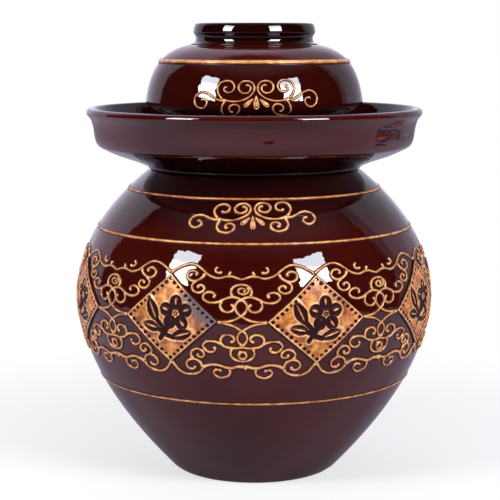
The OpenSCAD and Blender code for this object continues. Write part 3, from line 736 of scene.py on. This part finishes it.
def press_plaque():
    """One plaque as it comes out of the mould: u, v and its height, with the gilt."""
    mesh = bmesh.new()
    gilt = mesh.verts.layers.float.new("gilt")
    bmesh.ops.create_grid(mesh, x_segments=144, y_segments=144, size=1 + plaque_fillet / plaque_inner)
    rim = [edge for edge in mesh.edges if edge.is_boundary]
    skirt = bmesh.ops.extrude_edge_only(mesh, edges=rim)["geom"]
    foot = {part for part in skirt if isinstance(part, bmesh.types.BMVert)}
    for vertex in mesh.verts:
        u, v, height, gold = plaque_surface(vertex.co.x, vertex.co.y)
        if vertex in foot:
            height, gold = -0.5, 0
        vertex[gilt] = gold
        vertex.co = (u, v, height)
    bmesh.ops.holes_fill(mesh, edges=[edge for edge in mesh.edges if edge.is_boundary], sides=0)
    bmesh.ops.recalc_face_normals(mesh, faces=mesh.faces)
    for face in mesh.faces:
        face.smooth = True
    return mesh


def lay_plaque(number, pressed, turn, worn_along=None):
    mesh = pressed.copy()
    wear_and_sheen = mesh.verts.layers.float.new("wear_and_sheen")
    for vertex in mesh.verts:
        u, v, height = vertex.co
        if worn_along:
            vertex[wear_and_sheen] = 1 - smooth(1, 12, stroke(u, v, worn_along))
        vertex.co = on_wall(jar_surface, turn + math.degrees(u / belly_r), plaque_z + v, height)
    bmesh.ops.recalc_face_normals(mesh, faces=mesh.faces)
    name = "plaque_%d" % number
    data = bpy.data.meshes.new(name)
    mesh.to_mesh(data)
    mesh.free()
    data.materials.append(orange_gilding)
    piece = bpy.data.objects.new(name, data)
    bpy.context.scene.collection.objects.link(piece)
    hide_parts("diamond_plaques")
    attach(piece, "jar")


pressed_plaque = press_plaque()
# The last plaque has a patch rubbed bare of gold along its right side, coloured with a painted lilac sheen.
rubbed_side = ((plaque_half_w - 1, 0), (plaque_half_w * 0.55, plaque_half_h * 0.45))
for k in range(plaque_count):
    last = k == plaque_count - 1
    lay_plaque(k + 1, pressed_plaque, plaque_turn + k * 360 / plaque_count, rubbed_side if last else None)


# The scrollwork of the belly. Cords of slip trailed between the plaques in one motif, the same left
# and right, which the potter repeats round the jar by eye.
half_motif = [
    (1.5, [(0, 146.9), (1.3, 147.6), (2.6, 148.5), (3.8, 148.6), (5, 148.3), (6.2, 147.6), (7.3, 147.4), (8.6, 147.9),
           (9.8, 148.8), (10.9, 150.1), (11.9, 151.6), (13.4, 153.6), (14.9, 154.8), (16.4, 155), (18, 154.3),
           (20, 152.6), (22.5, 149.4)]),
    (1.5, [(4.1, 149), (3.6, 150.4), (3.4, 151.7)]),
    (1.6, [(7.3, 154), (8.0, 153), (8.2, 151.9), (7.75, 150.9), (6.8, 150.5), (5.9, 151.2)]),
    (1.8, [(11.4, 150.2), (11.7, 148.4), (12.5, 146.8), (13.7, 145.6), (15.2, 145.2), (16.5, 146.4), (17, 148.3),
           (16.5, 150.2), (15.3, 151.1), (14.2, 150.5), (13.8, 149.4), (14.5, 148.5)]),
    (1.7, [(13.6, 145.6), (14.6, 144.2), (15.1, 142.6), (15, 140.6), (14.3, 139.1), (13.1, 138.4), (11.8, 139.1),
           (11.2, 140.8), (11.6, 142.5), (12.6, 143), (13.2, 142), (12.8, 141.1)]),
    (1.7, [(0, 135), (1.4, 136.2), (2.9, 136.5), (4.3, 135.7), (5.6, 134.5), (6.8, 133.3), (8.3, 132.8), (9.8, 133.1),
           (11.1, 134.4), (11.5, 136.3), (10.9, 138.2), (9.5, 139.1), (8.2, 138.4), (7.9, 136.9), (8.6, 136)]),
    (1.7, [(5.6, 134.4), (6.1, 132.4), (6.1, 130.3), (5.5, 128.4), (4.2, 127.4), (2.9, 127.8), (2.2, 129.4),
           (2.4, 131.2), (3.2, 132.1)]),
    (1.7, [(2.5, 136.6), (3.1, 139), (2.7, 141.6), (1.6, 143.3), (0, 143.9)]),
    (1.7, [(-0.3, 135.2), (1, 133.6), (1.7, 131.2), (1.6, 128.6), (0.8, 126.2), (-0.2, 124.8), (-1.6, 123.1),
           (-3.2, 121.9), (-5, 121.4), (-7.4, 121.1)]),
    (1.6, [(7.4, 120.9), (5, 120.2), (3, 119.2), (1.6, 117.8), (0.2, 116), (-0.8, 114.6), (-1.4, 112.4),
           (-1.4, 110.3), (-0.8, 108), (0.1, 106.2)]),
    (1.8, [(0, 105.6), (1.8, 105), (3.1, 105.1), (4.7, 105.6), (5.9, 106.9), (6.4, 109.2), (6.1, 111.7), (5, 113.2),
           (3.8, 113.4), (2.7, 112.2), (2.35, 110.4), (2.9, 109.1), (3.7, 109.3)]),
    (1.8, [(5.9, 107.2), (7.3, 108.5), (8.8, 109.1), (10.4, 108.9), (11.5, 107.5), (11.8, 105.5), (11, 103.2),
           (9.6, 102.1), (8.5, 102.8), (8.1, 104.4), (8.8, 105.6)]),
    (1.7, [(3, 105), (3.5, 102.6), (3.4, 100.3), (2.8, 98.3), (1.6, 97), (0, 96.5)]),
    (1.8, [(14.9, 97.2), (15.7, 98.6), (15.7, 100.4), (15.4, 102), (14.5, 103.3), (13.3, 103.8), (12.2, 102.8),
           (11.6, 100.9), (11.8, 99), (12.8, 98.4), (13.6, 99.5), (13.2, 100.9)]),
    (1.9, [(12.4, 91.6), (12.7, 94), (13.6, 96.1), (15.1, 97), (16.7, 96), (17.5, 93.7), (17.2, 91.4), (16, 90.3),
           (14.9, 91.1), (14.9, 92.8)]),
    (2.1, [(12.5, 91.6), (11, 92.9), (9.6, 93.7), (8, 94), (6.4, 93.2), (4.9, 92.2), (3.2, 92), (1.6, 92.9),
           (0.4, 93.2)]),
    (1.8, [(12.4, 91.8), (12.8, 89.8), (13.9, 88), (15.4, 86.8), (17.2, 86.5), (18.8, 87.2), (20.4, 89), (21.6, 92),
           (22.5, 94.6)]),
    (1.7, [(4.1, 91.3), (3.9, 89.1), (4.4, 86.9), (5.6, 85.6), (7.1, 85.4), (8.5, 86.7), (9, 88.9), (8.3, 90.5),
           (7.1, 90.5), (6.5, 89.2)]),
]


def mirrored(width, points):
    """A cord and its mirror image; one that starts or ends on the middle line runs on into it."""
    other = [(-turn, z) for turn, z in points]
    if points[0][0] == 0:
        return [(width, other[::-1] + points[1:])]
    if points[-1][0] == 0:
        return [(width, points + other[-2::-1])]
    return [(width, points), (width, other)]


def ring_round(centre, half_turn, half_height, turns=1.0, shrink=0.0, start=90):
    """A cord wound round a centre, drawing in by shrink on its way."""
    steps = int(20 * turns)
    points = []
    for k in range(steps + 1):
        size = 1 - shrink * k / steps
        a = math.radians(start) - 2 * math.pi * turns * k / steps
        points.append((centre[0] + half_turn * size * math.cos(a), centre[1] + half_height * size * math.sin(a)))
    return points


middle_motif = [
    (1.6, ring_round((0, 140.3), 2.0, 2.6, 1.4, 0.75, 55)),
    (1.9, ring_round((0, 100.3), 1.25, 2.5, 1.1, 0.15, 150)),
    (2.3, [(-0.9, 93.2), (0.3, 92.9), (1.4, 91.6)]),
]
belly_cords = [cord for width, points in half_motif for cord in mirrored(width, rounded(points))]
belly_cords = [(width, [(turn - (0.35 if z > plaque_z else 0), z) for turn, z in points])
               for width, points in belly_cords]
belly_scroll = draw_cords(belly_cords + [(width, rounded(points, 2)) for width, points in middle_motif],
                          jar_surface, belly_r)
for k in range(plaque_count):
    lay_relief("belly_scroll_%d" % (k + 1), belly_scroll, [plaque_turn + (k - 0.5) * 360 / plaque_count],
               jar_surface, belly_r, "jar", ["belly_scrolls_upper", "belly_scrolls_lower"])


# The scrolls on the shoulder. The same trailed cords in one wide spray with a small three-petalled
# sprig under its middle, once at the front and once at the back; the spray dips a little to the left.
def petal(tip, end, half_width, girth):
    """A drop-shaped petal, half_width in mm: a cord round its edge, and one that fills its middle."""
    degree = math.radians(1) * girth
    (x0, z0), (x1, z1) = (tip[0] * degree, tip[1]), (end[0] * degree, end[1])
    length = math.hypot(x1 - x0, z1 - z0)
    loop = []
    for k in range(24):
        a = 2 * math.pi * k / 24
        along, across = (1 - math.cos(a)) / 2, 1.54 * math.sin(a) * math.sin(a / 2) ** 2 * half_width / length
        loop.append(((x0 + (x1 - x0) * along - (z1 - z0) * across) / degree,
                     z0 + (z1 - z0) * along + (x1 - x0) * across))
    middle = [((x0 + (x1 - x0) * t) / degree, z0 + (z1 - z0) * t) for t in (0.4, 0.65, 0.9)]
    return [(1.15, loop + loop[:1]), (1.5, middle)]


def lay_spray(name, half, petals, middle, drop, surface, girth, body, node):
    cords = []
    for side in (1, -1):
        for width, points in half:
            cords.append((width, [(side * turn, z + side * drop * turn) for turn, z in rounded(points)]))
    lay_relief(name, draw_cords(cords + petals, surface, girth), [middle, middle + 180], surface, girth, body, [node])


shoulder_half = [
    (1.7, [(13.1, 182.1), (11, 181.3), (9, 180.9), (7, 181), (5, 181.7), (3, 183), (1.4, 184.8), (0.8, 186.8),
           (1.2, 188.7), (2.5, 190), (4.2, 190.2), (6, 189.5), (7, 188), (6.7, 186.2), (5.3, 185), (3.7, 185.1),
           (2.5, 186.2), (2.5, 187.6), (3.4, 188.4), (4.3, 188)]),
    (1.7, [(13, 182.1), (14, 183.6), (14.9, 185.6), (15, 187.5), (14, 189.2), (12.5, 190), (10.7, 189.9), (9.3, 188.8),
           (9.1, 187.2), (9.8, 185.9), (11.1, 185.5), (12.3, 186.4)]),
    (1.8, [(11.4, 181.4), (13, 181.4), (14.6, 181.6), (16.4, 182.4), (18.3, 183.6), (20.3, 184.1), (22.2, 183.4),
           (23.5, 181.8), (23.7, 179.8), (22.8, 178), (21.2, 176.9), (19.6, 177.5), (18.8, 179.2), (19.6, 180.7),
           (20.9, 180.5)]),
    (1.8, [(12, 181.4), (12.7, 179.5), (12.9, 177.4), (12.2, 175.5), (10.9, 174.3), (9, 173.9), (7.3, 174.9),
           (6.5, 176.8), (6.9, 178.5), (8.5, 179.1), (9.8, 178.1), (9.6, 176.9), (8.6, 176.5)]),
]
shoulder_petals = (petal((0, 183.2), (0.1, 176), 1.25, 97) + petal((-1, 182.2), (-4.2, 178.4), 0.85, 97)
                   + petal((1, 182.2), (4.2, 178.4), 0.85, 97))
lay_spray("shoulder_spray", shoulder_half, shoulder_petals, -0.6, 0.05, jar_surface, 97, "jar", "shoulder_scrolls")


# The lid. A thrown bowl used upside down: its skirt stands in the water round the neck, its edge
# swells out over the dish, and it is glazed all over.
lid_r, lid_edge_z, lid_top_z, lid_wall, skirt_r, skirt_wall = 73.2, 250.4, 288, 5.5, 61, 5
ring_r, ring_top_z, rest_gap = 41.1, 302.2, 0.4
skirt_in, skirt_foot_z, skirt_top_z = skirt_r - skirt_wall, dish_floor_z + rest_gap, lid_edge_z - 8.2
lid_curve = [(lid_r, lid_edge_z), (lid_r - 2.2, lid_edge_z + 15.6), (lid_r - 7.2, lid_top_z - 4),
             (ring_r + 1.6, lid_top_z)]
under_edge = rounded([(skirt_r, skirt_top_z), (skirt_r + 6.3, lid_edge_z - 6), (skirt_r + 9.6, lid_edge_z - 4.1),
                      (skirt_r + 11.6, lid_edge_z - 1.9), (lid_r, lid_edge_z)])
lid_outline = under_edge + follow(lid_curve, 50)[1:]
turn_piece(
    "lid",
    [(skirt_in, skirt_foot_z + 1.5), (skirt_in + 0.7, skirt_foot_z + 0.4), (skirt_in + 1.8, skirt_foot_z),
     (skirt_r - 1.8, skirt_foot_z), (skirt_r - 0.7, skirt_foot_z + 0.4), (skirt_r, skirt_foot_z + 1.5)]
    + lid_outline + [(0, lid_top_z), (0, lid_top_z - lid_wall - 0.4)] + follow(lid_curve, 30, lid_wall)[::-1]
    + rounded([(skirt_in + 6, lid_edge_z - 3.4), (skirt_in + 1, lid_edge_z - 6.4), (skirt_in, skirt_top_z - 1)]),
    "lid", ["lid_skirt", "lid_bowl"])


# The foot ring of the lid. A turned ring with a rolled edge, by which the lid is lifted and on
# which it stands when it serves as a bowl.
ring_in = ring_r - 6.1
turn_piece(
    "lid_ring",
    rounded([
        (ring_in - 0.6, lid_top_z - 0.5), (ring_r + 1.6, lid_top_z), (ring_r - 0.7, lid_top_z + 1.3),
        (ring_r - 1.5, lid_top_z + 2.6), (ring_r - 1.7, ring_top_z - 9.6), (ring_r - 1, ring_top_z - 7.6),
        (ring_r - 0.2, ring_top_z - 6.6), (ring_r, ring_top_z - 5.7), (ring_r - 0.15, ring_top_z - 4.7),
        (ring_r - 0.42, ring_top_z - 3.4), (ring_r - 0.82, ring_top_z - 2.1), (ring_r - 1.35, ring_top_z - 0.95),
        (ring_r - 2.2, ring_top_z - 0.28), (ring_r - 3.3, ring_top_z - 0.06),
        (ring_in + 1.4, ring_top_z - 0.6), (ring_in + 0.4, ring_top_z - 2.4), (ring_in, ring_top_z - 6)]),
    "lid", ["lid_foot_ring"], 200)


# The relief of the lid. A gilt line under the foot ring, and the shoulder's spray drawn again to
# the lid's smaller round, its lower curls running down on to the swelling edge.
lid_surface = measure(lid_outline)
round_lid = draw_cords([(3.2, [(1.5 * k, 277.2) for k in range(241)])], lid_surface, lid_r, False, 1.0)
lay_relief("lid_line", round_lid, [0], lid_surface, lid_r, "lid", ["lid_gilt_line"])
lid_half = [
    (1.2, [(17, 254.6), (14.1, 253.5), (11.1, 253.1), (8.1, 253.4), (5, 254.7), (2.7, 256.6), (1.15, 259.2),
           (0.85, 262), (2, 264.6), (4.5, 265.6), (7, 265.2), (8.7, 263.2), (8.7, 260.7), (7.3, 258.6), (4.9, 258.1),
           (3.1, 259.5), (2.8, 261.8), (4.1, 263.1), (5.5, 262.6)]),
    (1.2, [(17, 254.6), (18.6, 257), (19.6, 259.6), (19.7, 262), (18.5, 264.6), (16.1, 265.8), (13.4, 265.8),
           (11.5, 264), (11.1, 261.5), (12.3, 259.2), (14.3, 258.7), (16.3, 260.1), (15.9, 261.9), (14.6, 262)]),
    (1.2, [(14.6, 253.6), (17, 253.7), (19.4, 254.3), (21.7, 255.8), (24.2, 257.7), (26.7, 258.9), (29.3, 258.8),
           (31.5, 256.8), (32.2, 253.8), (31.3, 250.8), (29.2, 249.1), (26.9, 249.2), (25.2, 251.4), (25.4, 253.8),
           (27.1, 254.7), (28.4, 253.8)]),
    (1.2, [(15.4, 253.6), (16.7, 251.1), (17.5, 248.2), (17.5, 245.8), (16.1, 244.3), (13.1, 244.3), (10.4, 245.3),
           (8.7, 247.2), (8.3, 249.4), (9.5, 251), (11.7, 251), (13.4, 249.4), (13.2, 247.2), (11.6, 246.7)]),
]
lid_petals = (petal((0, 256.2), (0.2, 248.4), 1.35, 71) + petal((-1.6, 254.4), (-5.8, 249.8), 0.9, 71)
              + petal((1.8, 254.4), (6, 249.8), 0.9, 71))
lay_spray("lid_spray", lid_half, lid_petals, 0.9, 0.02, lid_surface, 71, "lid", "lid_scrolls")


# The inner lid and its knob. A plain turned plate with a plug that fits the mouth, hidden under the
# outer lid and glazed like it.
for node in ("inner_lid", "inner_lid_knob"):
    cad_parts[node].data.materials.clear()
    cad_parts[node].data.materials.append(red_brown_glaze)
